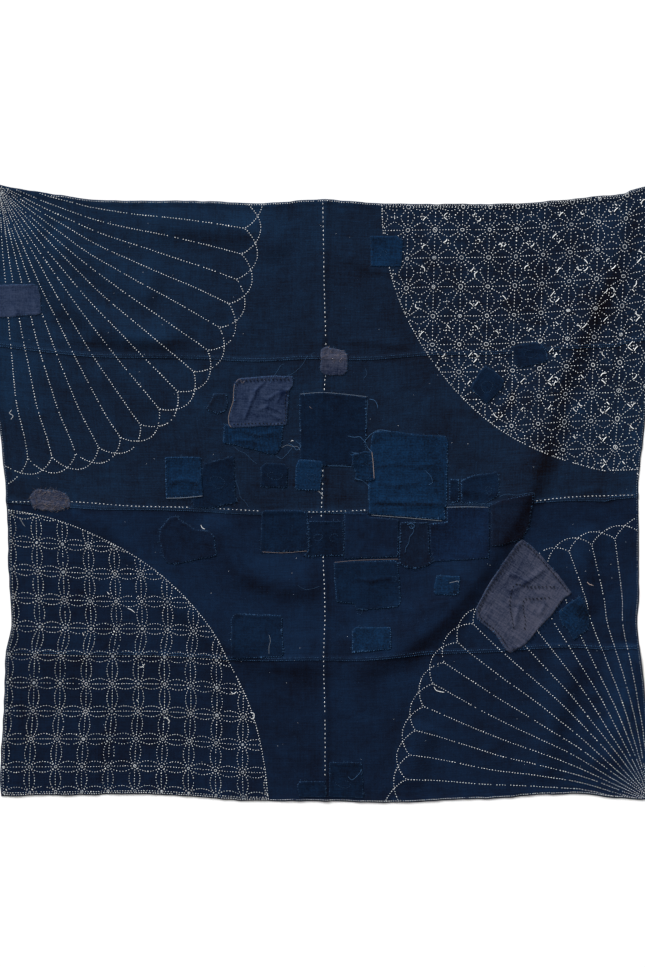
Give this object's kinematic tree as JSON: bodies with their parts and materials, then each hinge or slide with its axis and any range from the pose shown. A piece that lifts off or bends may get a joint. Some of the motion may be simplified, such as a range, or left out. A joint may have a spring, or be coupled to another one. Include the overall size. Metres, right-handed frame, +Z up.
{
  "type": "boro patched cloth",
  "caption": "Large rectangular indigo cotton cloth of joined loom-width panels with sewn-on patches and running-stitch corner patterns, lying flat with soft folds.",
  "frame": {"origin": "on the surface the cloth lies on, under the middle of its outline", "axes": "+X along the width, to the right as seen from above; +Y towards the upper edge; +Z up, out of the face"},
  "size_m": [1.47, 1.3622, 0.0109],
  "materials": {
    "indigo_ground": "matte",
    "indigo_deep": "matte",
    "indigo_dark": "matte",
    "indigo_blue": "matte",
    "indigo_violet": "matte",
    "indigo_brown": "matte",
    "cotton_grey": "matte",
    "cotton_pale": "matte",
    "thread_white": "matte",
    "thread_blue": "matte"
  },
  "bodies": {
    "root": {"panel_top": "indigo_ground", "panel_upper": "indigo_ground", "panel_lower": "indigo_deep", "panel_bottom": "indigo_deep", "patch_grey_square": "cotton_grey", "patch_under_grey": "indigo_blue", "patch_outline_small": "indigo_ground", "patch_blue_left": "indigo_blue", "patch_dark_left": "indigo_dark", "patch_dark_loop": "indigo_dark", "patch_blue_centre": "indigo_blue", "patch_dark_top": "indigo_dark", "patch_white_top": "cotton_pale", "patch_blue_large": "indigo_blue", "patch_blue_tab": "indigo_blue", "patch_dark_narrow": "indigo_dark", "patch_dark_strip": "indigo_dark", "patch_violet": "indigo_violet", "patch_brown_right": "indigo_brown", "patch_brown_threads": "indigo_brown", "patch_centre_wide": "indigo_deep", "patch_two_loops": "indigo_dark", "patch_centre_left": "indigo_dark", "patch_lower_centre": "indigo_dark", "patch_blue_small": "indigo_blue", "patch_blue_bright": "indigo_blue", "patch_pentagon": "indigo_deep", "patch_lower_left": "indigo_dark", "patch_grey_edge": "cotton_grey", "patch_grey_fuzzy": "cotton_pale", "patch_blue_star": "indigo_blue", "patch_dark_star_left": "indigo_dark", "patch_dark_star_right": "indigo_dark", "patch_blue_fan": "indigo_blue", "patch_grey_big": "cotton_pale", "patch_hem_left": "indigo_dark", "patch_hem_right": "indigo_dark"}
  },
  "joints": []
}
